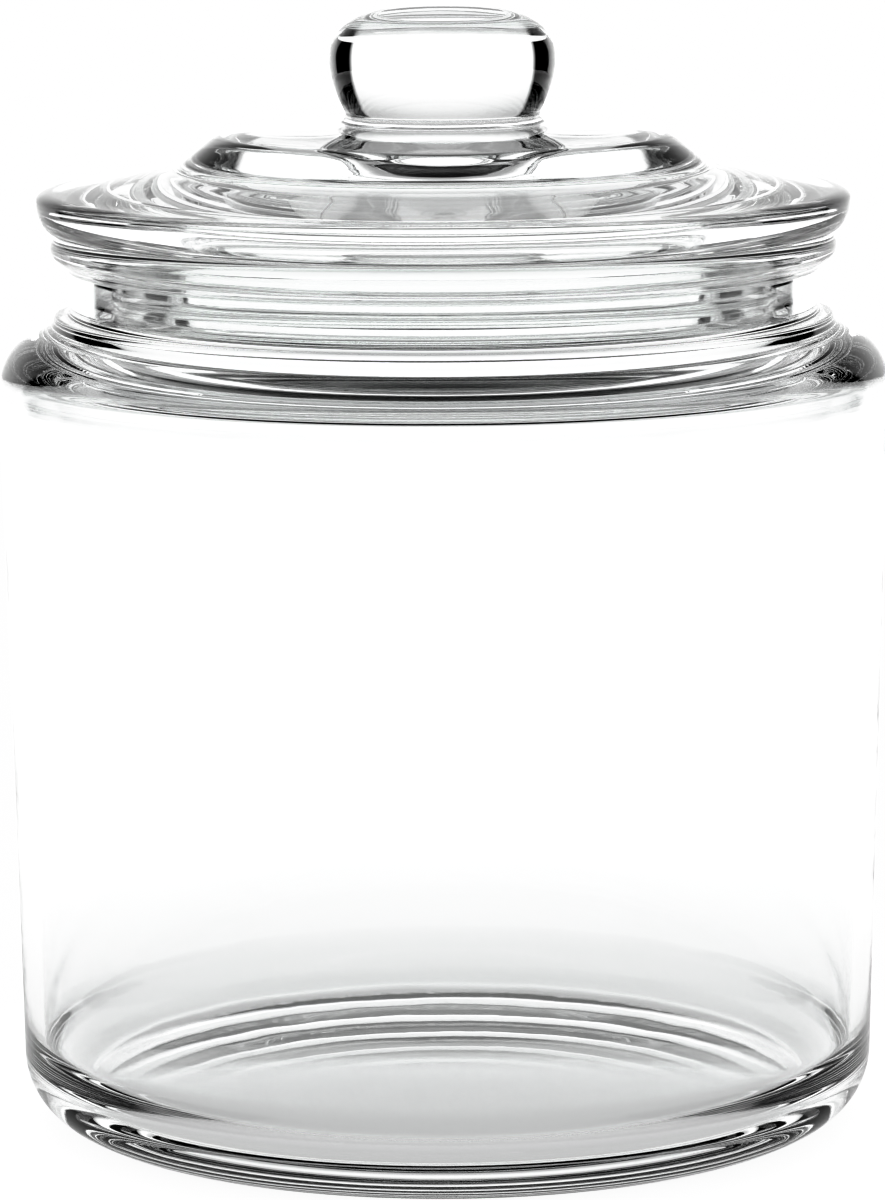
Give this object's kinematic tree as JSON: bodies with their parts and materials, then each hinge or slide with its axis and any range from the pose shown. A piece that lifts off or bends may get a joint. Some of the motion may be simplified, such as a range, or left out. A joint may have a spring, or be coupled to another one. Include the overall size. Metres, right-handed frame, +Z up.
{
  "type": "glass storage canister",
  "caption": "Clear glass storage canister: straight body with a rounded shoulder, wide mouth, knobbed glass lid with a hollow plug and a soft finned seal ring.",
  "frame": {"origin": "centre of the foot, on the table plane", "axes": "+Z up along the axis of the jar, through the middle of the knob"},
  "size_m": [0.1824, 0.1824, 0.2294],
  "materials": {
    "jar_glass": "clear, fire polished, slightly wavy inside",
    "lid_glass": "clear pressed glass, fire polished",
    "clear_seal": "soft clear plastic, slightly milky"
  },
  "bodies": {
    "jar": {"jar": "jar_glass"},
    "seal": {"seal_ring": "clear_seal"},
    "lid": {"lid": "lid_glass"}
  },
  "joints": [
    {"name": "lid_lift", "type": "slide", "parent": "jar", "child": "seal", "axis": [0, 0, 1], "range_m": [0, 0.15]},
    {"name": "lid_turn", "type": "hinge", "parent": "seal", "child": "lid", "pos_m": [0, 0, 0.184], "axis": [0, 0, 1], "continuous": true}
  ]
}
